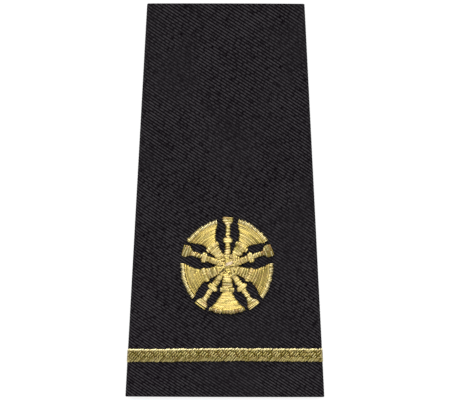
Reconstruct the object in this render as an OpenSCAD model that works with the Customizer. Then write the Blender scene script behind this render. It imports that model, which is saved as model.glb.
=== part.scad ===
// Slip-on shoulder mark: a tapered, hemmed sleeve of stiffened twill for a shirt's shoulder strap.
// It lies on its back. X runs across the sleeve, Y from the arm end to the neck end, Z up out of the front.

/* [Sleeve] */
// Width across the wide end, nearest the arm
arm_w = 54; // [50:1:64]
// Width across the narrow end, nearest the neck
neck_w = 42.7; // [38:0.1:48]
// Length from end to end
sleeve_l = 106.6; // [90:1:125]
// Clear height inside for the strap, between the hems on the middle line
strap_gap = 4.6; // [4.4:0.1:7]
// Thickness of the front wall: twill, stiffening and lining
front_t = 1.2; // [1:0.1:2]
// Thickness of the back wall
back_t = 1; // [0.8:0.1:2]
// Inside radius of the fold down each side
fold_r = 0.3; // [0.2:0.1:1]
// Width of the edge that the front turns onto the back, measured from the side
turn_w = 11; // [9.5:0.5:13]
// Distance from each side to the edge of the back wall
back_inset = 5.5; // [4.5:0.5:7]
// Clearance between layers of cloth and stitching
layer_gap = 0.05; // [0.03:0.01:0.1]

/* [Hems] */
// Depth of the hem turned in at each end
hem_w = 12; // [6:1:20]
// Extra thickness of cloth in a hem
hem_t = 0.3; // [0.2:0.1:0.6]
// Slope from the hem's edge down to the plain wall
hem_slope = 0.6; // [0.3:0.1:1.5]
// Radius of the turned cloth at each end
end_r = 0.5; // [0.2:0.05:0.6]

/* [Rank bar] */
// Width of the embroidered bar, along the sleeve
bar_w = 3.6; // [2:0.1:10]
// Distance from the wide end to the bar
bar_up = 9.5; // [4:0.5:14]
// Height of the bar's stitching on the cloth
bar_t = 0.5; // [0.3:0.05:0.8]

/* [Badge] */
// Radius of the circle that the bells and mouthpieces reach
badge_r = 13; // [11:0.5:16]
// Distance from the wide end to the middle of the badge
badge_up = 35.5; // [32:0.5:60]
// Distance of the badge to the right of the middle line
badge_shift = 0.6; // [-2:0.1:2]
// Width of a bell across its rim
bell_w = 10.2; // [8:0.1:11]
// Width of the ferrule behind the bell
ferrule_w = 3.9; // [3:0.1:4.2]
// Width of the barrel between the ferrule and the crossing
barrel_w = 2.3; // [1.6:0.1:2.6]
// Width of the stem from the crossing to its ring
stem_w = 1.6; // [1.2:0.1:2]
// Width of the ring on the stem
ring_w = 2.4; // [1.8:0.1:2.8]
// Width of the thin stem beyond the ring
thin_stem_w = 1.2; // [0.8:0.1:1.6]
// Width of the mouthpiece at its end
mouth_w = 3; // [2:0.1:3.4]
// Height of the stitching on a bugle's rim and bell
relief_t = 0.85; // [0.6:0.05:1.2]
// Thickness of each bugle where they cross
cross_t = 0.28; // [0.2:0.02:0.4]

/* [Hidden] */
TWILL = [0.13, 0.12, 0.13];
GOLD = [0.83, 0.68, 0.3];
$fn = 48;

// Divisions of the mesh: across half the arch, round a fold, and round a turned end
ARCH_STEPS = 14;
FOLD_STEPS = 8;
END_STEPS = 4;
BAR_STEPS = 6;
BUGLE_STEPS = 6;

// Height of a stitched band's edge as a share of its middle
EDGE_SHARE = 0.45;

// Clearance between edges of cloth and stitching that lie side by side
edge_gap = 3 * layer_gap;

// The fold's outer circle lies just above the back wall, and the top is as high as the strap and walls need
fold_out = fold_r + front_t;
fold_z = back_t + layer_gap + fold_out;
top_z = back_t + strap_gap + front_t + 2 * hem_t;

// Half of the sleeve's width at a place along it
function half_w(y) = (arm_w + (neck_w - arm_w) * (y / sleeve_l + 0.5)) / 2;

// The arch of the front is a parabola that runs into each fold's circle, so that the two share a slope there.
// These give its slope at the end, its half span, its height at the end and its rise.
function end_slope(w) = atan(2 * (top_z - fold_z - fold_out) / (w - fold_out));
function span(w) = w - fold_out * (1 - sin(end_slope(w)));
function spring_z(w) = fold_z + fold_out * cos(end_slope(w));
function rise(w) = top_z - spring_z(w);

// Height of the cloth's front face at a place on the arch
function cloth_z(x, y) = let (w = half_w(y)) spring_z(w) + rise(w) * (1 - pow(x / span(w), 2));

// A point of the front's outer face with its outward direction, as [x, z, out_x, out_z].
// The place p runs from 0 on the middle line to 1 at the end of the arch, 2 at the end of the fold
// and 3 at the turned edge, and is negative on the left.
function skin(w, p) =
    let (
        side = sign(p),
        q = abs(p),
        run = span(w),
        tilt = atan(2 * rise(w) * q / run),
        turn = (1 - (q - 1)) * (180 - end_slope(w)) - 90
    )
    q <= 1 ? [side * q * run, spring_z(w) + rise(w) * (1 - q * q), side * sin(tilt), cos(tilt)]
    : q <= 2 ? [
        side * (w - fold_out + fold_out * cos(turn)),
        fold_z + fold_out * sin(turn),
        side * cos(turn),
        sin(turn)
    ]
    : [side * (w - fold_out - (q - 2) * (turn_w - fold_out)), fold_z - fold_out, 0, -1];

// The same point at y, moved out of the face by a distance
function on_skin(y, p, out) = let (s = skin(half_w(y), p)) [s[0] + out * s[2], y, s[1] + out * s[3]];

// Smooth step from 0 to 1
function ease(t) = let (c = max(0, min(1, t))) c * c * (3 - 2 * c);

// How far a round edge of radius r sets a face in, at a distance from that edge
function round_in(distance, r) = let (d = max(0, r - distance)) r - sqrt(r * r - d * d);

// A closed solid between two grids of points, the outer face and the inner one
module sheet(outer, inner) {
    rows = len(outer);
    cols = len(outer[0]);
    under = rows * cols;
    function at(i, j) = i * cols + j;
    points = concat([for (row = outer) each row], [for (row = inner) each row]);
    faces = concat(
        [for (i = [0:rows - 2], j = [0:cols - 2]) each
            [[at(i, j), at(i + 1, j), at(i + 1, j + 1)], [at(i, j), at(i + 1, j + 1), at(i, j + 1)]]],
        [for (i = [0:rows - 2], j = [0:cols - 2]) each
            [[under + at(i, j), under + at(i + 1, j + 1), under + at(i + 1, j)],
             [under + at(i, j), under + at(i, j + 1), under + at(i + 1, j + 1)]]],
        [for (i = [0:rows - 2]) each
            [[at(i, 0), under + at(i, 0), under + at(i + 1, 0)],
             [at(i, 0), under + at(i + 1, 0), at(i + 1, 0)],
             [at(i, cols - 1), under + at(i + 1, cols - 1), under + at(i, cols - 1)],
             [at(i, cols - 1), at(i + 1, cols - 1), under + at(i + 1, cols - 1)]]],
        [for (j = [0:cols - 2]) each
            [[at(0, j), under + at(0, j + 1), under + at(0, j)],
             [at(0, j), at(0, j + 1), under + at(0, j + 1)],
             [at(rows - 1, j), under + at(rows - 1, j), under + at(rows - 1, j + 1)],
             [at(rows - 1, j), under + at(rows - 1, j + 1), at(rows - 1, j + 1)]]]
    );
    polyhedron(points, faces);
}

// Distances from an end at which the wall's form changes: round its turned edge, then over the hem's slope
END_ROWS = concat(
    [for (k = [0:END_STEPS]) end_r * (1 - cos(90 * k / END_STEPS))],
    [hem_w, hem_w + hem_slope]
);
WALL_ROWS = concat(
    [for (d = END_ROWS) d - sleeve_l / 2],
    [for (k = [len(END_ROWS) - 1:-1:0]) sleeve_l / 2 - END_ROWS[k]]
);

// Places round the front's profile, from one turned edge to the other
HALF_PLACES = concat(
    [for (k = [1:ARCH_STEPS]) k / ARCH_STEPS],
    [for (k = [1:FOLD_STEPS]) 1 + k / FOLD_STEPS],
    [3]
);
FRONT_PLACES = concat([for (k = [len(HALF_PLACES) - 1:-1:0]) -HALF_PLACES[k]], [0], HALF_PLACES);

// Extra thickness at a distance from the end: full in the hem, sloping to none beyond it
function hem(distance) = hem_t * (1 - max(0, min(1, (distance - hem_w) / hem_slope)));

// The hem thins out where the arch runs into the folds
HEM_FADE = 0.85;
function hem_fade(p) = 1 - ease((abs(p) - HEM_FADE) / (1 - HEM_FADE));

module front_panel() {
    color(TWILL)
    sheet(
        [for (y = WALL_ROWS) let (d = sleeve_l / 2 - abs(y))
            [for (p = FRONT_PLACES) on_skin(y, p, -round_in(d, end_r))]],
        [for (y = WALL_ROWS) let (d = sleeve_l / 2 - abs(y))
            [for (p = FRONT_PLACES) on_skin(y, p, round_in(d, end_r) - front_t - hem(d) * hem_fade(p))]]
    );
}

// The back wall's edges are rounded all round, and its hems stop short of the front's turned edges
back_edge_r = min(end_r, 0.45 * back_t);
hem_side = turn_w + edge_gap - back_inset;

// Distances from a side of the back wall at which its form changes
SIDE_STEPS = concat(
    [for (k = [0:END_STEPS]) back_edge_r * (1 - cos(90 * k / END_STEPS))],
    [hem_side, hem_side + hem_slope]
);

// A point of the back wall's inner or outer face, at a distance from its left side (-1) or its right side (1)
function on_back(y, side, distance, inner) =
    let (
        to_end = sleeve_l / 2 - abs(y),
        rounding = max(round_in(to_end, back_edge_r), round_in(distance, back_edge_r)),
        hem_share = max(0, min(1, (distance - hem_side) / hem_slope)),
        thick = back_t + hem(to_end) * hem_share
    )
    [side * (half_w(y) - back_inset - distance), y, inner ? thick - rounding : rounding];

// The points across one row of the back wall, from its left side to its right
function back_row(y, inner) = concat(
    [for (d = SIDE_STEPS) on_back(y, -1, d, inner)],
    [for (k = [len(SIDE_STEPS) - 1:-1:0]) on_back(y, 1, SIDE_STEPS[k], inner)]
);

module back_panel() {
    color(TWILL)
    sheet([for (y = WALL_ROWS) back_row(y, true)], [for (y = WALL_ROWS) back_row(y, false)]);
}

// Height of a stitched band as a share of its middle, across it from -1 to 1
function band_share(q) = EDGE_SHARE + (1 - EDGE_SHARE) * sqrt(1 - q * q);

module rank_bar() {
    // The bar's ends stop just short of the back wall's edges
    end_p = 2 + (back_inset - edge_gap - fold_out) / (turn_w - fold_out);
    half_places = [for (p = HALF_PLACES) min(p, end_p)];
    places = concat([for (k = [len(half_places) - 1:-1:0]) -half_places[k]], [0], half_places);
    middle_y = bar_up + bar_w / 2 - sleeve_l / 2;
    shares = [for (k = [0:BAR_STEPS]) -cos(180 * k / BAR_STEPS)];
    color(GOLD)
    sheet(
        [for (q = shares)
            [for (p = places) on_skin(middle_y + q * bar_w / 2, p, layer_gap + bar_t * band_share(q))]],
        [for (q = shares)
            [for (p = places) on_skin(middle_y + q * bar_w / 2, p, layer_gap)]]
    );
}

// The badge holds five bugles, a fifth of a turn apart, so ten arms meet in the middle
BUGLES = 5;
ARM_ANGLE = 180 / BUGLES;

// The bugles cross within this distance of the middle, and stand on the cloth beyond the hub
cross_r = barrel_w / 2 / tan(ARM_ANGLE / 2);
hub_r = cross_r + cross_t;

// Length over which a bugle comes down from the crossing to its own height
FALL = 2.2;

// One row for each section of a bugle's arm beyond the hub:
// place as a share of the way from the hub to the badge's circle, width there, height as a share of relief_t
MOUTH_ARM = [
    [0, stem_w, 0.6],
    [0.275, stem_w, 0.65],
    [0.29, ring_w, 0.8],
    [0.395, ring_w, 0.8],
    [0.41, thin_stem_w, 0.6],
    [0.78, thin_stem_w, 0.6],
    [0.87, 0.72 * mouth_w, 0.7],
    [0.94, mouth_w, 0.8],
    [1, mouth_w, 0.7]
];
BELL_ARM = [
    [0, barrel_w, 0.65],
    [0.11, 1.04 * barrel_w, 0.7],
    [0.235, 0.9 * ferrule_w, 0.8],
    [0.25, ferrule_w, 0.95],
    [0.325, ferrule_w, 0.95],
    [0.345, 0.84 * ferrule_w, 0.75],
    [0.45, 0.39 * bell_w, 0.75],
    [0.56, 0.52 * bell_w, 0.75],
    [0.68, 0.69 * bell_w, 0.75],
    [0.815, 0.88 * bell_w, 0.75],
    [0.83, 0.92 * bell_w, 1],
    [0.935, bell_w, 1],
    [1, 0.99 * bell_w, 0.75]
];
// The whole bugle, one row for each section: place along it in millimetres, width, height
BUGLE = concat(
    [for (k = [len(MOUTH_ARM) - 1:-1:0]) arm_row(MOUTH_ARM[k], -1)],
    [[-cross_r, stem_w, 0], [0, (stem_w + barrel_w) / 2, 0], [cross_r, barrel_w, 0]],
    [for (row = BELL_ARM) arm_row(row, 1)]
);
function arm_row(row, side) = [side * (hub_r + row[0] * (badge_r - hub_r)), row[1], row[2] * relief_t];

// Sections are straight in the middle and bow into arcs about the badge's middle towards the ends
function bow(along, across) =
    let (share = ease(2 * abs(along) / badge_r - 0.5), a = abs(along))
    a <= abs(across) ? along : sign(along) * (a + share * (sqrt(a * a - across * across) - a));

// A bugle's point in the row's plane, on the cloth, and raised by a height
function on_badge(angle, along, across, up) =
    let (
        b = bow(along, across),
        x = badge_shift + b * cos(angle) - across * sin(angle),
        y = badge_up - sleeve_l / 2 + b * sin(angle) + across * cos(angle)
    )
    [x, y, cloth_z(x, y) + layer_gap + up];

// One bugle, with its bell at an angle, crossing over as many others as its order says
module bugle(angle, order) {
    lift = order * (cross_t + layer_gap);
    shares = [for (k = [0:BUGLE_STEPS]) -cos(180 * k / BUGLE_STEPS)];
    function crossing(along) = 1 - ease((abs(along) - cross_r) / FALL);
    function top(along, height, q) =
        crossing(along) * (lift + cross_t) + (1 - crossing(along)) * height * band_share(q);
    color(GOLD)
    sheet(
        [for (row = BUGLE)
            [for (q = shares) on_badge(angle, row[0], -q * row[1] / 2, top(row[0], row[2], q))]],
        [for (row = BUGLE)
            [for (q = shares) on_badge(angle, row[0], -q * row[1] / 2, abs(row[0]) <= cross_r ? lift : 0)]]
    );
}

front_panel();
back_panel();
rank_bar();
bugle(126, 0);  // bugle_1
bugle(54, 1);  // bugle_2
bugle(342, 2);  // bugle_3
bugle(270, 3);  // bugle_4
bugle(198, 4);  // bugle_5
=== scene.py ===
import math

import bpy
import numpy as np
from bpy.props import FloatProperty, FloatVectorProperty, IntProperty, PointerProperty
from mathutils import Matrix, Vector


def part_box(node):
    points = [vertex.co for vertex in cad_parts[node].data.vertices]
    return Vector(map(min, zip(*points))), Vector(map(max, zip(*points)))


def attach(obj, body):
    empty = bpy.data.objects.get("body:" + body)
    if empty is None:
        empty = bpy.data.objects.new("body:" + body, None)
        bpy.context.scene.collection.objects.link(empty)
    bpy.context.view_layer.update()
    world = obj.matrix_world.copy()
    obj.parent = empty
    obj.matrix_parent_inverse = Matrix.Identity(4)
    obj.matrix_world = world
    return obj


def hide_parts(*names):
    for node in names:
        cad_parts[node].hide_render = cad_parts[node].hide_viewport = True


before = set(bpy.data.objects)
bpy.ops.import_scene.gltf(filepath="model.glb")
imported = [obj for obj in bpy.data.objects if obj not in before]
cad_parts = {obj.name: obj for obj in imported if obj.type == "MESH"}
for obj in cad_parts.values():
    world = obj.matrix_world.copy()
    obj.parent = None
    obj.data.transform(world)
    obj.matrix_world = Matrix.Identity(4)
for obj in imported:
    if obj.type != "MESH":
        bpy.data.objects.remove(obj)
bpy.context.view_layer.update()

bl_info = {
    "name": "Slip-on shoulder mark",
    "version": (1, 0, 0),
    "blender": (4, 5, 0),
    "location": "3D View > Sidebar > Shoulder mark",
    "description": "Makes the twill, the metallic embroidery and the stage of a slip-on shoulder mark",
    "category": "Object",
}

MM = 0.001
BODY = "root"
BUGLES = 5
UV_MAP = "thread"


def rows_of(keys, rows):
    """A list of dictionaries, one for each row, with the same keys."""
    return [dict(zip(keys, row)) for row in rows]


# What differs between the five bugles, each of which crosses over those before it. Lengths are in
# millimetres and angles in degrees.
# The bells. turn: direction of the barrel. skew: how far the bell turns from that. throat: width of the
# bell's narrow end. flare: how late it opens out, as a power of the distance. fill: its width behind the
# rim. width: of the rim. rim: distance from the middle to the rim. tilt: how much farther out the rim is at
# its one side. gap: bare cloth behind the rim. bulge: the rim's bulge as a share of a full circle's. tone,
# edge: tones of the bell and of the rim.
# The tone and edge columns paint light and shade: the bell at 338 degrees is painted darker as shade, and
# the rims of the upper bells are painted lighter and that of the lowest bell darker, as light from the neck
# end falls
BELLS = rows_of(
    ("turn", "skew", "throat", "flare", "fill", "width", "rim", "tilt", "gap", "bulge", "tone", "edge"), (
        (128.4, -2.3, 3.1, 1.5, 9.2, 9.5, 12.8, 0.1, 0.0, 0.78, 0.14, 0.29),
        (54.0, 0.5, 3.0, 1.42, 9.2, 9.35, 13.03, 0.05, 0.0, 0.9, 0.19, 0.29),
        (338.4, 1.6, 3.45, 1.42, 9.0, 9.5, 12.63, -0.35, 0.0, 0.8, -0.19, 0.08),
        (269.7, 0.0, 2.95, 1.35, 8.6, 9.6, 13.12, 0.0, 0.0, 1.0, 0.12, -0.33),
        (202.3, -1.9, 3.35, 1.37, 8.9, 9.7, 12.82, 0.25, 0.12, 0.85, 0.21, 0.3),
    )
)
# The stems. turn: direction. stout: share of the usual width. ring: distance from the middle to the ring.
# lip: to where the mouthpiece begins. open: length over which that opens. mouth: distance to its end. cup:
# its width. slit: distance between two bright stitches along its end, or 0 if it has none. tone: of its
# thread.
STEMS = rows_of(("turn", "stout", "ring", "lip", "open", "mouth", "cup", "slit", "tone"), (
    (303.9, 1.1, 7.05, 10.8, 1.5, 13.2, 3.5, 0.42, 0.2),
    (235.8, 1.06, 7.1, 10.8, 1.5, 13.25, 3.5, 0.6, 0.2),
    (160.1, 1.0, 6.77, 10.1, 1.6, 12.9, 3.55, 0, -0.05),
    (89.3, 0.93, 7.0, 10.75, 1.9, 13.3, 3.3, 0, 0.1),
    (20.3, 1.02, 6.75, 10.1, 1.5, 13.0, 3.6, 0, -0.1),
))


FRONT_LOW, FRONT_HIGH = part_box("front_panel")
BAR_LOW, BAR_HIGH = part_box("rank_bar")


def length(name, text, millimetres, low=0.0, high=200.0):
    """A size that a user can change, given here in millimetres."""
    return FloatProperty(
        name=name,
        description=text,
        default=millimetres * MM,
        min=low * MM,
        max=high * MM,
        precision=5,
        unit="LENGTH",
    )


def number(name, text, value):
    """A plain number that a user can change."""
    return FloatProperty(name=name, description=text, default=value, min=0)


def angle(name, text, degrees):
    """An angle that a user can change, given here in degrees."""
    return FloatProperty(name=name, description=text, default=math.radians(degrees), subtype="ANGLE")


def colour(name, text, value):
    """A colour that a user can change, as linear red, green and blue."""
    return FloatVectorProperty(
        name=name, description=text, default=value, min=0, max=1, size=3, subtype="COLOR"
    )


class SleeveSizes(bpy.types.PropertyGroup):
    """Sizes of the sleeve, as its solids have them."""

    length: length("Length", "Length from end to end", (FRONT_HIGH[1] - FRONT_LOW[1]) / MM)
    top: length("Height", "Height of the front's middle line above the surface", FRONT_HIGH[2] / MM)
    arm_w: length("Arm end", "Width across the wide end", 54)
    neck_w: length("Neck end", "Width across the narrow end", 42.7)
    front_t: length("Front wall", "Thickness of the front wall", 1.2)
    back_t: length("Back wall", "Thickness of the back wall", 1.0)
    fold_r: length("Fold radius", "Inside radius of the fold down each side", 0.3)
    turn_w: length("Turned edge", "Width of the edge that the front turns onto the back", 11)
    back_inset: length("Back inset", "Distance from each side to the edge of the back wall", 5.5)
    layer_gap: length("Layer gap", "Clearance between layers", 0.05)
    hem_w: length("Hem depth", "Depth of the hem turned in at each end", 12)
    hem_t: length("Hem thickness", "Extra thickness of cloth in a hem", 0.3)
    hem_slope: length("Hem slope", "Length over which the hem comes down to the plain wall", 0.6)
    end_r: length("Edge radius", "Radius of the turned cloth at each edge", 0.3)
    back_edge_r: length("Back edge radius", "Radius of the back wall's edges", 0.45)
    seam_in: length("Seam", "Distance of the seam from the back wall's edge", 1.6)
    stitch_l: length("Seam stitch", "Length of one stitch of the seam", 2.6)


class ClothLooks(bpy.types.PropertyGroup):
    """The twill's ribs and colours."""

    pitch: length("Wale pitch", "Distance from one rib of the twill to the next, halfway along", 0.735)
    gather: number("Gather", "Half of the pitch's growth for each metre towards the neck, as a share", 0.49)
    depth: length("Wale depth", "Depth of the groove between two ribs", 0.15)
    lean: angle("Wale angle", "Direction of the ribs from the sleeve's width", -32)
    float_l: length("Float length", "Length of one yarn's float along a rib", 0.46)
    crease_w: length("Crease", "Cloth on each side of a fold's outer line where the ribs are flatter", 0.8)
    # The groove colour is painted shade between the ribs; the ridge colour is reached on the rib tops,
    # which are painted lighter
    ridge: colour("Ridge", "Colour on top of a rib", (0.0355, 0.0326, 0.036))
    groove: colour("Groove", "Colour in the groove between ribs", (0.0018, 0.0006, 0.0018))
    seam: colour("Seam thread", "Colour of the thread that sews the back on", (0.02, 0.019, 0.022))


class BadgeSizes(bpy.types.PropertyGroup):
    """Sizes of the badge and of the five bugles that cross in it. Widths are of the whole band."""

    shift: length("Badge shift", "How far right of the sleeve's middle line the badge lies", 0.6)
    up: length("Badge place", "Distance from the wide end to the badge's middle", 35.5)
    lift: length("Lift", "How far each bugle lies above the one that it crosses", 0.33)
    cross_r: length("Crossing", "Distance from the middle to the end of the crossing", 3.5)
    cross_h: length("Crossing height", "Height of each bugle's stitches in the crossing", 0.42)
    fall: length("Fall", "Length over which a bugle comes down from the crossing", 2.2)
    throat_at: length("Throat", "Distance from the middle to the bell's narrow end", 7.0)
    bell_h: length("Bell height", "Height of the bell's stitches", 0.6)
    rim_l: length("Rim", "Width of the rim round the bell's mouth", 1.3)
    rim_h: length("Rim height", "Height of the rim's stitches", 0.95)
    barrel_w: length("Barrel", "Width of the barrel at the badge's middle", 1.5)
    barrel_end_w: length("Barrel end", "Width of the barrel at the ferrule", 3.35)
    barrel_h: length("Barrel height", "Height of the barrel's stitches", 0.5)
    ferrule_at: length("Ferrule place", "Distance from the middle to the ferrule", 6.55)
    ferrule_w: length("Ferrule width", "Width of the ferrule from side to side", 3.75)
    ferrule_l: length("Ferrule length", "Length of the ferrule along the bugle", 1.3)
    ferrule_h: length("Ferrule height", "Height of the ferrule's stitches", 0.76)
    stem_w: length("Stem", "Width of the stem", 1.7)
    stem_h: length("Stem height", "Height of the stem's stitches", 0.5)
    ring_w: length("Ring width", "Width of the ring from side to side", 3.0)
    ring_h: length("Ring height", "Height of the ring's stitches", 0.76)
    thin_w: length("Thin stem", "Width of the stem beyond the ring", 1.43)
    mouth_h: length("Mouthpiece height", "Height of the mouthpiece's stitches", 0.6)
    bar_h: length("Bar height", "Height of the bar's stitches", 0.46)
    bar_lean: angle("Bar slant", "Angle of the bar's stitches from its length", 46)
    bar_pitch: length("Bar pitch", "Distance from one stitch of the bar to the next", 0.41)
    bar_bow: length("Bar bow", "How far the bar rises from its left end to its middle", 0.22)


class ThreadLooks(bpy.types.PropertyGroup):
    """The embroidery's thread and colours."""

    width: length("Thread width", "Width of one lying thread", 0.36)
    thick: length("Thread thickness", "Thickness of one lying thread", 0.26)
    row: length("Row pitch", "Distance from one row of stitches to the next", 0.34)
    rough: length("Roughness", "How far the ends of stitches stray", 0.06)
    twist: length("Twist", "Length of one turn of the foil round its core", 0.5)
    bright: colour("Bright gold", "Colour of the brightest thread where it is cool", (0.77, 0.67, 0.365))
    warm: colour("Warm gold", "Colour of the brightest thread where it is warm", (0.83, 0.655, 0.2))
    deep: colour("Deep gold", "Colour of the darkest thread", (0.27, 0.215, 0.045))
    brown: colour("Brown gold", "Colour of the darkest thread in the browner places", (0.31, 0.19, 0.07))
    # The pale colour is a painted highlight, the glint off the few loose threads on the crossing
    pale: colour("Pale gold", "Colour of the few threads that lie loose and shine", (0.6, 0.48, 0.325))
    bar_bright: colour("Bright bar", "Colour of the brightest thread in the bar", (0.92, 0.79, 0.33))
    # The next colour is a painted highlight, on the threads along the bar's upper edge
    bar_highlight: colour("Bar edge", "Colour of the brightest thread along the bar's upper edge", (1, 0.9, 0.5))
    bar_deep: colour("Deep bar", "Colour of the darkest thread in the bar", (0.095, 0.07, 0.0))
    bar_brown: colour("Brown bar", "Colour of the darkest thread in brown places", (0.122, 0.072, 0.008))
    bed: colour("Underlay", "Colour of the stitches under the satin", (0.13, 0.095, 0.03))
    seed: IntProperty(name="Hand", description="Seed of the small differences between stitches", default=7)


class StageLooks(bpy.types.PropertyGroup):
    """The floor, the light and the camera."""

    floor: colour("Floor", "Colour of the floor", (0.25, 0.25, 0.25))
    sky: number("Sky", "Brightness of the light all round", 0.55)
    glow: number("Floor glow", "Brightness of the light that comes up through the floor", 0.8)
    key: number("Key light", "Brightness of the light beyond the neck end", 4.6)
    key_up: angle("Key height", "Angle of the key light above the floor", 38)
    fill: number("Fill light", "Brightness of the light beyond the wide end", 1.2)
    fill_up: angle("Fill height", "Angle of the fill light above the floor", 32)
    spread: number("Light edge", "How sharply both lights fall off, as a power", 6)
    lens: length("Lens", "Focal length of the camera", 1000, high=2000)
    pixel: length("Pixel", "Width of one pixel of the picture at the sleeve's sides", 0.2711)
    picture_w: IntProperty(name="Picture width", description="Width of the picture in pixels", default=450)
    off_x: length("Shift right", "How far right of the picture's middle the sleeve lies", 0.095)
    off_y: length("Shift up", "How far above the picture's middle the sleeve lies", -0.05, low=-10)
    roll: angle("Roll", "Turn of the sleeve in the picture, clockwise", 0.14)


class MarkSettings(bpy.types.PropertyGroup):
    """Everything about the shoulder mark that a user can change."""

    sleeve: PointerProperty(type=SleeveSizes)
    cloth: PointerProperty(type=ClothLooks)
    badge: PointerProperty(type=BadgeSizes)
    thread: PointerProperty(type=ThreadLooks)
    stage: PointerProperty(type=StageLooks)


def ease(t):
    """Smooth step from 0 to 1."""
    c = np.clip(t, 0, 1)
    return c * c * (3 - 2 * c)


def round_in(distance, radius):
    """How far a round edge sets a face in, at a distance from that edge: a quarter circle of the radius."""
    d = np.clip(radius - distance, 0, radius)
    return radius - np.sqrt(np.maximum(radius * radius - d * d, 0))


def hem(distance, sizes):
    """Extra thickness at a distance from the end: full in the hem, sloping to none beyond it."""
    return sizes.hem_t * (1 - np.clip((distance - sizes.hem_w) / sizes.hem_slope, 0, 1))


def half_width(y, sizes):
    """Half of the sleeve's width at a place along it, which changes evenly from end to end."""
    return (sizes.arm_w + (sizes.neck_w - sizes.arm_w) * (y / sizes.length + 0.5)) / 2


def back_half(y, sizes):
    """Half of the back wall's width at a place along it."""
    return half_width(y, sizes) - sizes.back_inset


class FrontForm:
    """The form that the front cloth is laid over, in sections across the sleeve.

    Each half of a section is a parabola that falls from the middle line, then a circle round the side and
    then a flat under the sleeve. A place on it is the length of cloth from the middle line, less than 0 on
    the left.
    """

    def __init__(self, y, sizes):
        self.radius = sizes.fold_r + sizes.front_t
        self.fold_z = sizes.back_t + sizes.layer_gap + self.radius
        self.w = half_width(y, sizes)
        slope = np.arctan(2 * (sizes.top - self.fold_z - self.radius) / (self.w - self.radius))
        self.span = self.w - self.radius * (1 - np.sin(slope))
        self.spring_z = self.fold_z + self.radius * np.cos(slope)
        self.rise = sizes.top - self.spring_z
        self.bend = 2 * self.rise / self.span**2
        self.slope = slope
        self.arch = self.parabola(self.span)
        self.fold = self.radius * (np.pi - slope)
        self.turn = sizes.turn_w - self.radius
        self.cut = self.arch + self.fold + self.turn

    def parabola(self, x):
        """Length of the parabola from the middle line to x."""
        k = self.bend
        return (x * np.sqrt(1 + (k * x) ** 2) + np.arcsinh(k * x) / k) / 2

    def arch_z(self, x):
        """Height of the parabola at x."""
        return self.spring_z + self.rise - self.bend / 2 * x * x

    def lay(self, s):
        """x, z and the outward direction's x and z, at a length s of cloth from the middle line.

        On the arch, four of Newton's steps find the x whose length of parabola is that of the cloth.
        """
        side, a = np.sign(s), np.abs(s)
        on_arch = a <= self.arch
        wanted = np.minimum(a, self.arch)
        x = wanted * self.span / self.arch
        for _ in range(4):
            x = x - (self.parabola(x) - wanted) / np.sqrt(1 + (self.bend * x) ** 2)
        tilt = np.arctan(self.bend * x)
        turned = np.clip((a - self.arch) / self.fold, 0, 1)
        angle = (np.pi / 2 - self.slope) - turned * (np.pi - self.slope)
        under = np.maximum(a - self.arch - self.fold, 0)
        side_x = self.w - self.radius + self.radius * np.cos(angle) - under
        side_z = self.fold_z + self.radius * np.sin(angle)
        out_x = np.where(on_arch, np.sin(tilt), np.cos(angle))
        out_z = np.where(on_arch, np.cos(tilt), np.sin(angle))
        z = np.where(on_arch, self.arch_z(x), side_z)
        return side * np.where(on_arch, x, side_x), z, side * out_x, out_z

    def points(self, s, y, out):
        """Points at lengths s of cloth and places y along the sleeve, moved out of the face by out."""
        x, z, out_x, out_z = self.lay(s)
        return np.stack([x + out * out_x, y + 0 * x, z + out * out_z], -1)


def cloth_height(x, y, sizes):
    """Height of the front's face on the arch, at places seen from above."""
    return FrontForm(y, sizes).arch_z(x)


# Places of the rows of points across one rib of the twill, from groove to groove
RIB_ROWS = (0, 0.15, 0.38, 0.62, 0.85)

# The power of a sine that gives a rib's height across it
RIB_POWER = 0.8


def rib(across, looks):
    """Height of the twill's face below its ridges: a power of a sine with its zeros in the grooves."""
    return looks.depth * (np.abs(np.sin(np.pi * across / looks.pitch)) ** RIB_POWER - 1)


def gathered(even, looks):
    """Distance across the ribs of a place that is counted in even ribs: a share of its square is added."""
    return even * (1 + looks.gather * even)


def evened(across, looks):
    """The place counted in even ribs at a distance across the ribs, which undoes gathered."""
    return 2 * across / (1 + np.sqrt(1 + 4 * looks.gather * across))


# Distance of the first and the last row from the corners of the cut, where a row would have no length
CORNER_TRIM = 0.06 * MM

# Places tried along a row before its points are spread
FINE_PLACES = 600


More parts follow.
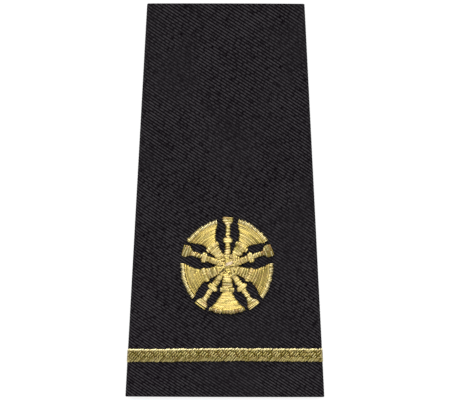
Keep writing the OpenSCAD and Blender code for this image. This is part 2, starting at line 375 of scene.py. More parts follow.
def wale_rows(cut_low, cut_high, sizes, looks, step, columns, side=1):
    """Points on a flat cut of twill in rows that follow its ribs.

    The cut is a trapezoid, with half widths cut_low and cut_high at its ends. A row is the straight line at
    a distance across the ribs, clipped to the cut. Its points divide the integral of 1 / step evenly, so
    that they are close where the step is short. The ribs of a cut whose side is -1 lean the other way.
    Returns places across the cut and along it, and the UV in metres: distance along the rib, and the place
    across the ribs that is counted in even ribs.
    """
    end = sizes.length / 2
    lean = side * looks.lean
    run = np.array([math.cos(lean), math.sin(lean)])
    climb = np.array([-math.sin(lean), math.cos(lean)])
    middle, taper = (cut_low + cut_high) / 2, (cut_high - cut_low) / sizes.length
    corners = np.array([[-cut_low, -end], [cut_low, -end], [cut_high, end], [-cut_high, end]]) @ climb
    low, high = corners.min() + CORNER_TRIM, corners.max() - CORNER_TRIM
    first, last = math.floor(evened(low, looks) / looks.pitch), math.ceil(evened(high, looks) / looks.pitch)
    even = (np.arange(first, last)[:, None] + np.array(RIB_ROWS)).ravel() * looks.pitch
    even = even[(gathered(even, looks) > low) & (gathered(even, looks) < high)]
    across = gathered(even, looks)
    # Each edge of the cut says that gain * along <= room
    gain = np.array([run[1], -run[1], run[0] - taper * run[1], -run[0] - taper * run[1]])
    held = np.array([climb[1], -climb[1], climb[0] - taper * climb[1], -climb[0] - taper * climb[1]])
    room = np.array([end, end, middle, middle])[:, None] - held[:, None] * across
    limit = room / gain[:, None]
    start = np.max(np.where(gain[:, None] < 0, limit, -np.inf), 0)
    stop = np.min(np.where(gain[:, None] > 0, limit, np.inf), 0)
    fine = start[:, None] + np.linspace(0, 1, FINE_PLACES) * (stop - start)[:, None]
    s = across[:, None] * climb[0] + fine * run[0]
    y = across[:, None] * climb[1] + fine * run[1]
    weight = np.cumsum(1 / step(s, y), 1)
    weight = (weight - weight[:, :1]) / (weight[:, -1:] - weight[:, :1])
    lift = 2 * np.arange(len(across))[:, None]
    wanted = np.linspace(0, 1, columns) + lift
    along = np.interp(wanted.ravel(), (weight + lift).ravel(), fine.ravel()).reshape(wanted.shape)
    across = across[:, None] + 0 * along
    s = across * climb[0] + along * run[0]
    y = across * climb[1] + along * run[1]
    return s, np.clip(y, -end, end), np.stack([along, even[:, None] + 0 * along], -1)


# Width along a cloth's side edges in which its inner face is cloth that has gone round the side
SIDE_BAND = 0.6 * MM


def turned_in(s, y, cut, wall, sizes, looks, side=1):
    """UV in metres on the inner face, where the cloth has gone round an edge and back.

    It is the place mirrored in the nearest end, farther out by the wall's thickness, or mirrored in the
    side close to a side edge.
    """
    by_side = cut - np.abs(s) < SIDE_BAND
    s, y = (
        np.where(by_side, np.sign(s) * (2 * cut + wall) - s, s),
        np.where(by_side, y, np.sign(y) * (sizes.length + wall) - y),
    )
    lean = side * looks.lean
    across = y * math.cos(lean) - s * math.sin(lean)
    return np.stack([s * math.cos(lean) + y * math.sin(lean), evened(across, looks)], -1)


def quads(rows, columns, first=0):
    """Corner numbers of the squares between neighbours in a grid of points that is numbered row by row."""
    corner = (np.arange(rows - 1)[:, None] * columns + np.arange(columns - 1)).ravel() + first
    return np.stack([corner, corner + 1, corner + columns + 1, corner + columns], -1)


def wall_faces(rows, columns, kept):
    """Faces of a closed wall between an outer grid and an inner one that has only the kept rows of it.

    Along each side, triangles fan out from each kept row's inner point, and one more leads to the next.
    """
    first = rows * columns
    outer = quads(rows, columns)
    inner = quads(len(kept), columns, first)[:, ::-1]
    row = np.arange(rows - 1)
    below = np.searchsorted(kept, row, "right") - 1
    each = np.arange(len(kept) - 1)
    faces = [outer, inner]
    for column, turn in ((0, 1), (columns - 1, -1)):
        fan = [row * columns + column, (row + 1) * columns + column, first + below * columns + column]
        inside = first + each * columns + column
        link = [kept[each + 1] * columns + column, inside + columns, inside]
        faces += [np.stack(fan, -1)[:, ::turn], np.stack(link, -1)[:, ::turn]]
    column = np.arange(columns - 1)
    for row, inside, turn in ((0, 0, 1), (rows - 1, len(kept) - 1, -1)):
        near, far = row * columns + column, first + inside * columns + column
        faces.append(np.stack([near, far, far + 1, near + 1], -1)[:, ::turn])
    return faces


def make_piece(name, points, faces, uv, materials, nodes=(), groups=None, marks=None):
    """Puts points, faces, a UV in metres and named marks of each point into a mesh in the frame.

    groups is the number of each face's material, and nodes are the solids that the piece replaces.
    """
    mesh = bpy.data.meshes.new(name)
    corners = np.concatenate([f.ravel() for f in faces])
    sizes = np.concatenate([np.full(len(f), f.shape[1]) for f in faces])
    mesh.vertices.add(len(points))
    mesh.vertices.foreach_set("co", np.ascontiguousarray(points, np.float32).ravel())
    mesh.loops.add(len(corners))
    mesh.loops.foreach_set("vertex_index", corners.astype(np.int32))
    mesh.polygons.add(len(sizes))
    mesh.polygons.foreach_set("loop_start", np.concatenate([[0], np.cumsum(sizes)[:-1]]).astype(np.int32))
    if groups is not None:
        mesh.polygons.foreach_set("material_index", groups.astype(np.int32))
    mesh.update(calc_edges=True)
    layer = mesh.uv_layers.new(name=UV_MAP)
    layer.data.foreach_set("uv", uv[corners].astype(np.float32).ravel())
    for mark, values in (marks or {}).items():
        mesh.attributes.new(mark, "FLOAT", "POINT").data.foreach_set("value", values.astype(np.float32))
    mesh.shade_smooth()
    for material in materials:
        mesh.materials.append(material)
    piece = bpy.data.objects.new(name, mesh)
    bpy.context.scene.collection.objects.link(piece)
    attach(piece, BODY)
    if nodes:
        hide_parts(*nodes)
    return piece


class Shade:
    """A socket in a material, so that shader maths can be written as an expression."""

    def __init__(self, tree, socket):
        self.tree = tree
        self.socket = socket

    def maths(self, operation, *values):
        """The result of a Math node."""
        return add_node(self.tree, "ShaderNodeMath", {"operation": operation}, dict(enumerate(values)))

    def __add__(self, other):
        return self.maths("ADD", self, other)

    def __radd__(self, other):
        return self.maths("ADD", other, self)

    def __sub__(self, other):
        return self.maths("SUBTRACT", self, other)

    def __rsub__(self, other):
        return self.maths("SUBTRACT", other, self)

    def __mul__(self, other):
        return self.maths("MULTIPLY", self, other)

    def __rmul__(self, other):
        return self.maths("MULTIPLY", other, self)

    def __truediv__(self, other):
        return self.maths("DIVIDE", self, other)

    def __pow__(self, other):
        return self.maths("POWER", self, other)

    def size(self):
        """This without its sign."""
        return self.maths("ABSOLUTE", self)

    def whole(self):
        """The whole number below this."""
        return self.maths("FLOOR", self)

    def held(self):
        """This held between 0 and 1."""
        return self.maths("MINIMUM", self.maths("MAXIMUM", self, 0.0), 1.0)

    def humps(self):
        """Round humps, one from each whole number to the next: the size of a sine."""
        return self.maths("SINE", self * math.pi).size()

    def mix(self, low, high):
        """The colour low where this is 0 and high where it is 1, which are the node's sockets 6 and 7."""
        settings = {"data_type": "RGBA", "clamp_factor": True}
        return add_node(self.tree, "ShaderNodeMix", settings, {"Factor": self, 6: low, 7: high}, 2)

    def noise(self, scale, detail, flat=False):
        """Noise at this place, finer where the scale is higher. A flat one reads only two coordinates."""
        settings = {"noise_dimensions": "2D" if flat else "3D"}
        inputs = {"Vector": self, "Scale": scale, "Detail": detail}
        return add_node(self.tree, "ShaderNodeTexNoise", settings, inputs)

    def bump(self, strength, distance):
        """The surface's direction where this, times a distance, is the height of its relief."""
        inputs = {"Strength": strength, "Distance": distance, "Height": self}
        return add_node(self.tree, "ShaderNodeBump", {}, inputs)


def add_node(tree, kind, settings=None, inputs=None, output=0):
    """Adds a node, makes its settings, gives its sockets values or links, and returns one output."""
    node = tree.nodes.new(kind)
    for key, value in (settings or {}).items():
        setattr(node, key, value)
    for key, value in (inputs or {}).items():
        socket = node.inputs[key]
        if isinstance(value, Shade):
            tree.links.new(value.socket, socket)
        elif hasattr(value, "__len__") and len(value) == 3 and socket.type == "RGBA":
            socket.default_value = (*value, 1)
        else:
            socket.default_value = value
    return Shade(tree, node.outputs[output]) if node.outputs else None


def start_material(name):
    """A new material with its surface still empty, and its node tree."""
    material = bpy.data.materials.new(name)
    material.use_nodes = True
    material.node_tree.nodes.clear()
    return material, material.node_tree


def finish_material(tree, inputs):
    """Gives the material one Principled surface."""
    surface = add_node(tree, "ShaderNodeBsdfPrincipled", {}, inputs)
    add_node(tree, "ShaderNodeOutputMaterial", {}, {"Surface": surface})


def uv_of(tree):
    """The piece's own UV map in metres, and its two coordinates."""
    uv = add_node(tree, "ShaderNodeUVMap", {"uv_map": UV_MAP})
    u, v = (add_node(tree, "ShaderNodeSeparateXYZ", {}, {0: uv}, axis) for axis in "XY")
    return uv, u, v


def place_of(tree):
    """The place on the object, in metres."""
    return add_node(tree, "ShaderNodeTexCoord", output="Object")


def darker(colour, share):
    """A share of a colour's light."""
    return tuple(part * share for part in colour)


def twill(looks):
    """Black twill: grooves between the ribs, floats slanting along each rib, fibres, and faint uneven dye.

    A float leans across its rib, and the next rib's floats begin a share of their length farther on. Each
    length of yarn has its own tone. The grooves are painted dark as shade and the rib tops and float
    middles lighter as light, and in patches this painted light and shade is weaker.
    """
    material, tree = start_material("black_twill")
    uv, along, across = uv_of(tree)
    place = place_of(tree)
    float_lean, float_shift = 0.55, 0.37
    yarn_l, yarn_apart = 0.75 * MM, 3.7
    rib_number = across / looks.pitch
    ridge = rib_number.humps()
    float_at = (along + across * float_lean) / looks.float_l + rib_number.whole() * float_shift
    bulge = float_at.humps() ** 0.7
    fibre = uv.noise(5200, 3, flat=True)
    slub = place.noise(620, 2)
    dye = place.noise(110, 2)
    even_patch_noise = place.noise(75, 1)
    along_yarn = {0: along / yarn_l, 1: rib_number.whole() * yarn_apart}
    yarn = add_node(tree, "ShaderNodeCombineXYZ", {}, along_yarn).noise(1, 1, flat=True)
    height = ridge ** RIB_POWER * 0.6 + bulge * ridge * 0.3 + fibre * 0.1
    # Painted light and shade: lighter on the rib tops and the middle of each float, darker in the grooves
    crisp = ridge ** 3.0 * (bulge * 0.3 + fibre * 0.3 + slub * 0.7 + yarn * 2.6 - 1.05) * (0.6 + dye * 0.8)
    # Patches where the painted light and shade of the ribs is weaker
    even_patch = ((even_patch_noise - 0.5) * 5).held() * 0.45
    light = crisp + even_patch * (0.3 - crisp)
    finish_material(tree, {
        "Base Color": light.mix(looks.groove, looks.ridge),
        "Roughness": 0.8 - ridge * 0.14,
        "Specular IOR Level": 0.02,
        "Normal": height.bump(0.5, 0.1 * MM),
    })
    return material


# What each stitch has for its material
MARKS = ("tone", "warmth")

# The tone from which a thread turns pale, a painted highlight
HIGHLIGHT_FROM_TONE = 1.6


def metallic_thread(name, looks, deep, brown, bright, warm, uneven):
    """Metallic thread: foil wound round a core, with a seam at each turn, and marks for each stitch.

    The thread is darkest at a tone of 0, brightest at 1 and pale at 2, where the pale colour is a painted
    highlight. Its warmth is from 0 to 1. uneven is how much the tone differs from place to place.
    """
    material, tree = start_material(name)
    uv, along, around = uv_of(tree)
    place = place_of(tree)
    marks = ({"attribute_name": mark} for mark in MARKS)
    tone, warmth = (add_node(tree, "ShaderNodeAttribute", mark, output="Fac") for mark in marks)
    foil_lean = 1.3
    foil = ((along + around * foil_lean) / looks.twist).humps()
    crease = uv.noise(2600, 2, flat=True)
    blotch = place.noise(420, 1)
    patch = place.noise(850, 1)
    height = foil ** 0.5 * 0.7 + crease * 0.3
    shade = tone * 0.9 + crease * 0.4 - (1 - foil) ** 4 * 0.45 + (blotch - 0.5) * uneven
    dark = ((patch - 0.5) * 4 + 0.4).mix(deep, brown)
    gold = shade.mix(dark, warmth.mix(bright, warm))
    finish_material(tree, {
        # Above a tone of 1.6 the thread is painted pale as a highlight
        "Base Color": ((tone - HIGHLIGHT_FROM_TONE) * 4).mix(gold, looks.pale),
        "Metallic": 0.9,
        "Roughness": 0.28 + crease * 0.16,
        "Normal": height.bump(0.5, 0.06 * MM),
    })
    return material


def underlay(looks):
    """The dull stitches that pad the satin from below."""
    material, tree = start_material("underlay_thread")
    _, along, _ = uv_of(tree)
    strand_w = 0.35 * MM
    strands = (along / strand_w).humps()
    finish_material(tree, {
        "Base Color": strands.mix(darker(looks.bed, 0.6), looks.bed),
        "Metallic": 0.4,
        "Roughness": 0.7,
        "Normal": strands.bump(0.6, 0.1 * MM),
    })
    return material


def seam_material(looks):
    """Dull black sewing thread with a twist."""
    material, tree = start_material("black_thread")
    _, along, around = uv_of(tree)
    ply_w = 0.32 * MM
    ply = ((along + around) / ply_w).humps()
    finish_material(tree, {
        "Base Color": ply.mix(darker(looks.seam, 0.4), looks.seam),
        "Roughness": 0.6,
        "Normal": ply.bump(0.7, 0.05 * MM),
    })
    return material


def floor_material(looks):
    """Pale, matt floor with a faint grain and a glow of its own."""
    material, tree = start_material("pale_floor")
    grain = place_of(tree).noise(40, 4)
    finish_material(tree, {
        "Base Color": grain.mix(darker(looks.floor, 0.985), looks.floor),
        "Roughness": 0.9,
        "Specular IOR Level": 0.1,
        "Emission Color": (1, 1, 1),
        "Emission Strength": looks.glow,
    })
    return material


def zone(distance, width):
    """True within a width of a place."""
    return np.abs(distance) < width


def edge_step(step, to_end, to_side, sizes, band, fine):
    """A step between points that is shorter over the slope of a hem, and fine in a band along the edges."""
    slope_step = 0.6 * MM
    on_slope = zone(to_end - sizes.hem_w - sizes.hem_slope / 2, sizes.hem_slope)
    step = np.where(on_slope, slope_step, step)
    return np.where(np.minimum(to_end, to_side) < band, fine, step)


# How many rows of a cloth's outer face there are for each one of its plain inner face
ROWS_FOR_ONE = 5


def make_cloth(name, node, outer, inner, uv, turned, looks, turn=1):
    """Closes a cloth between two grids of points with UVs. A turn of -1 turns its faces round."""
    rows, columns, _ = outer.shape
    kept = np.unique(np.append(np.arange(0, rows, ROWS_FOR_ONE), rows - 1))
    points = np.concatenate([outer.reshape(-1, 3), inner[kept].reshape(-1, 3)])
    grid = np.concatenate([uv.reshape(-1, 2), turned[kept].reshape(-1, 2)])
    faces = [corners[:, ::turn] for corners in wall_faces(rows, columns, kept)]
    return make_piece(name, points, faces, grid, [twill(looks)], [node])


class MARK_OT_front(bpy.types.Operator):
    """Makes the front cloth: twill over the arch, round both folds and under the sides, with two hems"""

    bl_idname = "mark.front"
    bl_label = "Front cloth"

    def execute(self, context):
        settings = context.scene.mark_settings
        sizes, looks = settings.sleeve, settings.cloth
        end = sizes.length / 2
        side_r = 0.8 * sizes.end_r
        crease_relief = 0.2
        hem_fade = 0.15
        ends = FrontForm(np.array([-end, end]), sizes).cut

        def step(s, y):
            """Distance wanted between points, which is short where the cloth bends."""
            arch_step, fold_step, under_step = 2.0 * MM, 0.45 * MM, 2.6 * MM
            beside_fold = 0.6 * MM
            form = FrontForm(y, sizes)
            by_fold = zone(np.abs(s) - form.arch - form.fold / 2, form.fold / 2 + beside_fold)
            out = np.where(np.abs(s) > form.arch + form.fold, under_step, arch_step)
            out = np.where(by_fold, fold_step, out)
            to_end, to_side = end - np.abs(y), form.cut - np.abs(s)
            return edge_step(out, to_end, to_side, sizes, band=0.9 * MM, fine=0.25 * MM)

        s, y, uv = wale_rows(ends[0], ends[1], sizes, looks, step, columns=84)
        form = FrontForm(y, sizes)
        # The rows end on straight lines from end to end, and the cloth's side edges bow a little
        line = (ends[0] + ends[1]) / 2 + (ends[1] - ends[0]) * y / sizes.length
        s = s * form.cut / line
        to_end, to_side = end - np.abs(y), form.cut - np.abs(s)
        edge = np.maximum(round_in(to_end, sizes.end_r), round_in(to_side, side_r))
        from_fold = np.abs(np.abs(s) - form.arch - form.fold / 2)
        creased = crease_relief + (1 - crease_relief) * ease(from_fold / looks.crease_w)
        relief = ease(1 - 2 * edge / sizes.end_r) * creased
        in_hem = 1 - ease((np.abs(s) / form.arch - (1 - hem_fade)) / hem_fade)
        depth = sizes.front_t + hem(to_end, sizes) * in_hem
        outer = form.points(s, y, rib(uv[..., 1], looks) * relief - edge)
        inner = form.points(s, y, edge - depth)
        turned = turned_in(s, y, form.cut, sizes.front_t, sizes, looks)
        cloth = make_cloth("front_cloth", "front_panel", outer, inner, uv, turned, looks)
        area = float(ends[0] + ends[1]) * sizes.length
        return {"FINISHED"}


# Places of a seam stitch's points, as shares of its length from its middle, close together where it dives
SEAM_PLACES = np.array([-0.5, -0.46, -0.36, -0.15, 0.15, 0.36, 0.46, 0.5])


class MARK_OT_back(bpy.types.Operator):
    """Makes the back cloth, with a groove where the seam pulls it in, and its seam"""

    bl_idname = "mark.back"
    bl_label = "Back cloth and seam"

    def execute(self, context):
        settings = context.scene.mark_settings
        sizes, looks = settings.sleeve, settings.cloth
        end = sizes.length / 2
        ends = back_half(np.array([-end, end]), sizes)
        groove_r, groove_depth = 0.5 * MM, 0.22 * MM

        def step(s, y):
            """Distance wanted between points, which is short in the seam's groove."""
            plain_step, groove_step = 2.2 * MM, 0.25 * MM
            to_side = back_half(y, sizes) - np.abs(s)
            out = np.where(zone(to_side - sizes.seam_in, 1.1 * groove_r), groove_step, plain_step)
            return edge_step(out, end - np.abs(y), to_side, sizes, band=0.7 * MM, fine=0.2 * MM)

        s, y, uv = wale_rows(ends[0], ends[1], sizes, looks, step, columns=60, side=-1)
        half = back_half(y, sizes)
        to_end, to_side = end - np.abs(y), half - np.abs(s)
        edge = np.maximum(round_in(to_end, sizes.back_edge_r), round_in(to_side, sizes.back_edge_r))
        dent = groove_depth * (1 - ease(np.abs(to_side - sizes.seam_in) / groove_r))
        in_hem = np.clip((np.abs(to_side) + sizes.back_inset - sizes.turn_w) / sizes.hem_slope, 0, 1)
        low = edge + dent - rib(uv[..., 1], looks)
        high = sizes.back_t + hem(to_end, sizes) * in_hem - edge
        outer, inner = (np.stack([s, y, z], -1) for z in (low, high))
        turned = turned_in(s, y, half, sizes.back_t, sizes, looks, side=-1)
        cloth = make_cloth("back_cloth", "back_panel", outer, inner, uv, turned, looks, turn=-1)
        area = float(ends[0] + ends[1]) * sizes.length
        self.seam(settings)
        return {"FINISHED"}

    def seam(self, settings):
        """Sews the seam: short stitches in a line that follows each side of the back cloth.

        The line is bare at both ends, and a stitch fills a share of its place in it.
        """
        sizes = settings.sleeve
        bare, fill = 2 * MM, 0.94
        thread_w, thread_t = 0.34 * MM, 0.3 * MM
        top, dive, dive_from, dive_l = 0.2 * MM, 0.25 * MM, 0.36, 0.1
        count = int((sizes.length - 2 * bare) / sizes.stitch_l)
        y = (np.arange(count) - (count - 1) / 2)[:, None] * sizes.stitch_l
        reach = SEAM_PLACES * fill
        along = y + reach * sizes.stitch_l
        x = back_half(along, sizes) - sizes.seam_in
        z = top + dive * ease((np.abs(reach) - dive_from) / dive_l)
        line = np.stack([x, along, z + 0 * along], -1)
        lines = np.concatenate([line, line * (-1, 1, 1)])
        ups = np.broadcast_to(np.array([0, 0, -1.0]), lines.shape)
        points, faces, uv = sew(lines, ups, thread_w, thread_t)
        make_piece("seam_thread", points, faces, uv, [seam_material(settings.cloth)])


# Sides of a thread's section
THREAD_SIDES = 8

# A thread narrows within this share of its width from each end, to this share of its section there
THREAD_TAPER = 0.6
THREAD_TIP = 0.04

# How much farther along its foil each stitch begins than the one before it
FOIL_SHIFT = 0.137 * MM


def sew(lines, ups, width, thick):
    """Lays a thread along each line of points: an ellipse carried along it, narrow at both ends.

    lines and ups are arrays of stitches by points by three, and width and thick are numbers or one value
    for each stitch. The ellipse's flat side faces ups. Returns points, faces and the UV in metres: distance
    along the thread and round it.
    """
    count, steps, _ = lines.shape
    width, thick = np.reshape(width, (-1, 1)), np.reshape(thick, (-1, 1))
    ahead = np.gradient(lines, axis=1)
    ahead /= np.linalg.norm(ahead, axis=-1, keepdims=True)
    across = np.cross(ahead, ups)
    across /= np.linalg.norm(across, axis=-1, keepdims=True)
    rise = np.cross(across, ahead)
    apart = np.linalg.norm(np.diff(lines, axis=1), axis=-1)
    along = np.concatenate([np.zeros((count, 1)), np.cumsum(apart, 1)], 1)
    to_end = np.minimum(along, along[:, -1:] - along)
    full = np.sqrt(np.clip(to_end / (THREAD_TAPER * width), THREAD_TIP, 1))
    turn = np.linspace(0, 2 * np.pi, THREAD_SIDES + 1)
    to_side = np.cos(turn)[:, None] * across[:, :, None] * (width / 2 * full)[..., None, None]
    to_top = np.sin(turn)[:, None] * rise[:, :, None] * (thick / 2 * full)[..., None, None]
    points = (lines[:, :, None] + (to_side + to_top))[:, :, :-1]
    # The seam of the tube shares its points, so the distance round it runs up and back again
    round_it = np.abs(turn[:-1] - np.pi) / np.pi * np.max(width)
    uv = np.stack(np.broadcast_arrays(along[:, :, None], round_it), -1)
    uv = uv + np.stack([np.arange(count) * FOIL_SHIFT, np.zeros(count)], -1)[:, None, None]
    ringed = np.arange(count * steps * THREAD_SIDES).reshape(count, steps, THREAD_SIDES)
    ahead_of = np.roll(ringed, -1, 2)
    faces = np.stack([ringed[:, :-1], ringed[:, 1:], ahead_of[:, 1:], ahead_of[:, :-1]], -1).reshape(-1, 4)
    caps = np.concatenate([ringed[:, 0], ringed[:, -1, ::-1]])
    return points.reshape(-1, 3), [faces, caps], uv.reshape(-1, 2)


# Shares of a stitch's length at which its line has points, with more of them where it dives into the cloth
STITCH_PLACES = np.array([0, 0.025, 0.07, 0.15, 0.27, 0.42, 0.58, 0.73, 0.85, 0.93, 0.975, 1])

# Length over which a stitch dives at its end, the power that shapes the dive, the depth below the ground
# that it reaches, and how much darker it is painted there, as shade where it goes down into the cloth
DIVE_L = 0.3 * MM
DIVE_POWER = 0.7
ROOT = 0.15 * MM
DIVE_SHADE = 0.35


class Stitches:
    """A list of stitches on flat ground, each from one place to another, with height, width and tone."""

    def __init__(self, looks, order):
        self.rows = []
        self.looks = looks
        self.random = np.random.default_rng(looks.seed + order)

    def stray(self, *shape):
        """Small random lengths."""
        return self.looks.rough * self.random.standard_normal(shape)

    def add(
        self, start, stop, crown, shoulder=0.5, width=1.0, tone=0.5, spread=0.3, warmth=0.5, band=(-1, 1),
        dips=(1, 1),
    ):
        """Adds stitches from start to stop, arrays of places along and across.

        Their tones differ by shares of the spread, by turns and at random, and their warmth at random. band
        is where each end lies across the whole band, from -1 to 1, and dips how far each end goes down.
        """
        by_turns, at_random, warmth_stray = 0.35, 1.3, 0.6
        start, stop = np.broadcast_arrays(start, stop)
        count = len(start)
        turns = by_turns * (-1.0) ** np.arange(count)
        shade = tone + spread * (turns + at_random * (self.random.random(count) - 0.5))
        warmth = warmth + warmth_stray * (self.random.random(count) - 0.5)
        facts = [crown, shoulder, width, shade, warmth, *band, *dips]
        self.rows.append(np.column_stack([start, stop] + [np.broadcast_to(fact, count) for fact in facts]))

    def across(self, places, half, crown, slant=0.0, broken=True, **kinds):
        """Adds a row right across at each place along a band, from one of its edges to the other.

        A broken row is two stitches that overlap at an uneven place. A slanted one lies at the place in its
        middle.
        """
        least, longest_lap, inner_dip = 0.2 * MM, 0.3, 0.4
        break_stray, farthest_break = 0.45, 0.7
        places = np.asarray(places, float)
        half = np.maximum(half + self.stray(2, len(places)), least)
        lean = slant + self.stray(len(places))
        full = np.ones(len(places))
        spans = [(-full, full, (1, 1))]
        if broken:
            lap = np.minimum(0.7 * self.looks.row / half[0], longest_lap)
            breaks = self.random.normal(0, break_stray, len(places))
            breaks = np.clip(breaks, -farthest_break, farthest_break)
            spans = [(-full, breaks + lap, (1, inner_dip)), (breaks - lap, full, (inner_dip, 1))]
        for low, high, dips in spans:
            start = np.stack([places + lean * low, half[0] * low], -1)
            stop = np.stack([places + lean * high, half[1] * high], -1)
            self.add(start, stop, crown, band=(low, high), dips=dips, **kinds)

    def lines(self):
        """Each stitch's places and heights, its width, and the tone and warmth along it.

        A stitch is straight on the ground. Its height is a half ellipse across the whole band, on its
        shoulder height. Each end goes down to a place below the ground within a short distance, and is
        painted darker there as shade.
        """
        rows = np.concatenate(self.rows)
        start, stop = rows[:, None, 0:2], rows[:, None, 2:4]
        facts = (rows[:, k:k + 1] for k in range(4, rows.shape[1]))
        crown, shoulder, width, tone, warmth, low, high, dip_low, dip_high = facts
        t = STITCH_PLACES
        ground = start + (stop - start) * t[:, None]
        reach = np.linalg.norm(stop - start, axis=-1)
        low_end, high_end = (1 - ease(where * reach / DIVE_L) for where in (t, 1 - t))
        dive = (1 - dip_low * low_end) * (1 - dip_high * high_end)
        dome = shoulder + (1 - shoulder) * np.sqrt(np.clip(1 - (low + (high - low) * t) ** 2, 0, 1))
        height = (crown * dome + ROOT) * dive**DIVE_POWER - ROOT
        return ground, height, width[:, 0], (tone - DIVE_SHADE * (1 - dive), warmth + 0 * dive)


class Bugle:
    """One bugle on the badge: the widths of its parts, and how its places lie on the sleeve.

    Places along it are above 0 on the bell's side of the badge's middle, and below 0 on the stem's.
    """

    def __init__(self, order, badge, sizes):
        bell, stem = BELLS[order], STEMS[order]
        self.badge, self.sizes, self.order = badge, sizes, order
        for key in ("throat", "fill", "width", "rim", "tilt", "gap"):
            setattr(self, key, bell[key] * MM)
        for key in ("ring", "lip", "open", "mouth", "cup", "slit"):
            setattr(self, key, stem[key] * MM)
        self.flare, self.bulge = bell["flare"], bell["bulge"]
        self.tone, self.edge = bell["tone"], bell["edge"]
        self.stout, self.cup_tone = stem["stout"], stem["tone"]
        self.turn, self.skew = math.radians(bell["turn"]), math.radians(bell["skew"])
        self.kink = math.remainder(math.radians(stem["turn"] - bell["turn"] - 180), 2 * math.pi)
        self.middle = np.array([badge.shift, badge.up - sizes.length / 2])
        self.fill_end = self.rim - badge.rim_l - self.gap

    def place(self, along, across, up):
        """Points on the sleeve.

        The bugle turns by its kink where it crosses the middle and by its skew beyond the ferrule. Towards
        its ends, rows across it bow by a share of what an arc about the badge's middle would.
        """
        badge, stem_bulge = self.badge, 0.5
        a = np.abs(along)
        bowed = ease(2 * a / self.rim - 0.5) * np.where(along > 0, self.bulge, stem_bulge)
        arc = np.sqrt(np.maximum(a * a - across * across, 0)) - a
        opened = ease((along - badge.throat_at) / (self.rim - badge.throat_at))
        b = np.sign(along) * (a + bowed * arc) + opened * self.tilt * across / (self.width / 2)
        beyond = ease((along - badge.throat_at) / (2 * (badge.throat_at - badge.ferrule_at)))
        turn = self.turn + self.kink * ease(0.5 - along / badge.cross_r) + self.skew * beyond
        x = self.middle[0] + b * np.cos(turn) - across * np.sin(turn)
        y = self.middle[1] + b * np.sin(turn) + across * np.cos(turn)
        crossing = 1 - ease((a - badge.cross_r) / badge.fall)
        z = cloth_height(x, y, self.sizes) + up + crossing * badge.lift * self.order
        return np.stack([x, y, z], -1)

    def bell_half(self, place):
        """Half width on the bell's side: the barrel widens evenly, the bell by a power of the distance."""
        badge = self.badge
        barrel = badge.barrel_w + (badge.barrel_end_w - badge.barrel_w) * place / badge.ferrule_at
        t = np.clip((place - badge.throat_at) / (self.fill_end - badge.throat_at), 0, 1)
        bell = self.throat + (self.fill - self.throat) * t**self.flare
        return np.where(place > badge.throat_at, bell, barrel) / 2

    def mouth_half(self, place):
        """Half width on the other side: the stem, the thin stem, then smoothly out to the mouthpiece.

        The end of a mouthpiece with no bright edge is rounded off: the square of its width falls by a
        share there.
        """
        badge = self.badge
        round_l, share_off = 0.8 * MM, 0.4
        stem = np.where(place < self.ring, badge.stem_w, badge.thin_w) * self.stout
        flare = (self.cup - badge.thin_w * self.stout) * ease((place - self.lip) / self.open)
        off = 0 if self.slit else share_off * np.clip((place - self.mouth + round_l) / round_l, 0, 1) ** 2
        return (stem + flare) / 2 * np.sqrt(1 - off)


def spaced(low, high, pitch):
    """Places from low to high about a pitch apart."""
    count = max(1, round((high - low) / pitch))
    return low + (np.arange(count) + 0.5) * (high - low) / count


# Stitches in the rim of a bell, and in the ferrule behind it
RIM_STITCHES = 24
FERRULE_STITCHES = 11


def sew_bell(stitches, bugle):
    """The bell: rows of stitches across it, under a rim of stitches along it that fan out a little."""
    badge, row = bugle.badge, stitches.looks.row
    fan, rim_stray = 1.02, 1.8
    rows = spaced(badge.throat_at, bugle.fill_end + row / 2, row)
    # The bell's tone from its table paints shade, darkest on the bell at 338 degrees
    half, tone = bugle.bell_half(rows), 0.5 + bugle.tone
    stitches.across(rows, half, badge.bell_h, shoulder=0.72, width=0.88, tone=tone, spread=0.55, warmth=0.9)
    angles = np.linspace(-1, 1, RIM_STITCHES) * math.asin(bugle.width / 2 / bugle.rim)
    inner = bugle.rim - badge.rim_l + stitches.stray(RIM_STITCHES)
    outer = bugle.rim + rim_stray * stitches.stray(RIM_STITCHES)
    start = np.stack([inner, inner * np.sin(angles)], -1)
    stop = np.stack([outer, outer * np.sin(angles * fan)], -1)
    # The rim's tone paints light and shade: lighter on the upper bells, darker on the lowest one
    tone, dips = 0.5 + bugle.edge, (1 if bugle.gap > 0 else 0.75, 1)
    stitches.add(
        start, stop, badge.rim_h, shoulder=0.3, width=1.02, tone=tone, spread=0.6, warmth=0.2, dips=dips
    )


# Where the rows of a barrel and a stem begin, as a share of the distance to the end of the crossing
ARM_START = 0.75


def sew_barrel(stitches, bugle):
    """The barrel behind the bell, and the ferrule round it."""
    badge, row = bugle.badge, stitches.looks.row
    rows = spaced(ARM_START * badge.cross_r, badge.ferrule_at - badge.ferrule_l / 3, row)
    stitches.across(rows, bugle.bell_half(rows), badge.barrel_h, shoulder=0.55, tone=0.45, spread=0.85)
    across = np.linspace(-1, 1, FERRULE_STITCHES) * (badge.ferrule_w - stitches.looks.width) / 2
    low, high = badge.ferrule_at + stitches.stray(2, FERRULE_STITCHES)
    start = np.stack([low - badge.ferrule_l / 2, across], -1)
    stop = np.stack([high + badge.ferrule_l / 2, across], -1)
    stitches.add(start, stop, badge.ferrule_h, width=1.1, tone=0.35, spread=0.6, dips=(0.6, 0.45))


# The four rows of a stem's ring: their distances from its middle in rows, and their shares of its width
RING_PLACES = np.array([-1.3, -0.4, 0.5, 1.3])
RING_WIDTHS = np.array([0.88, 0.98, 1, 0.84])


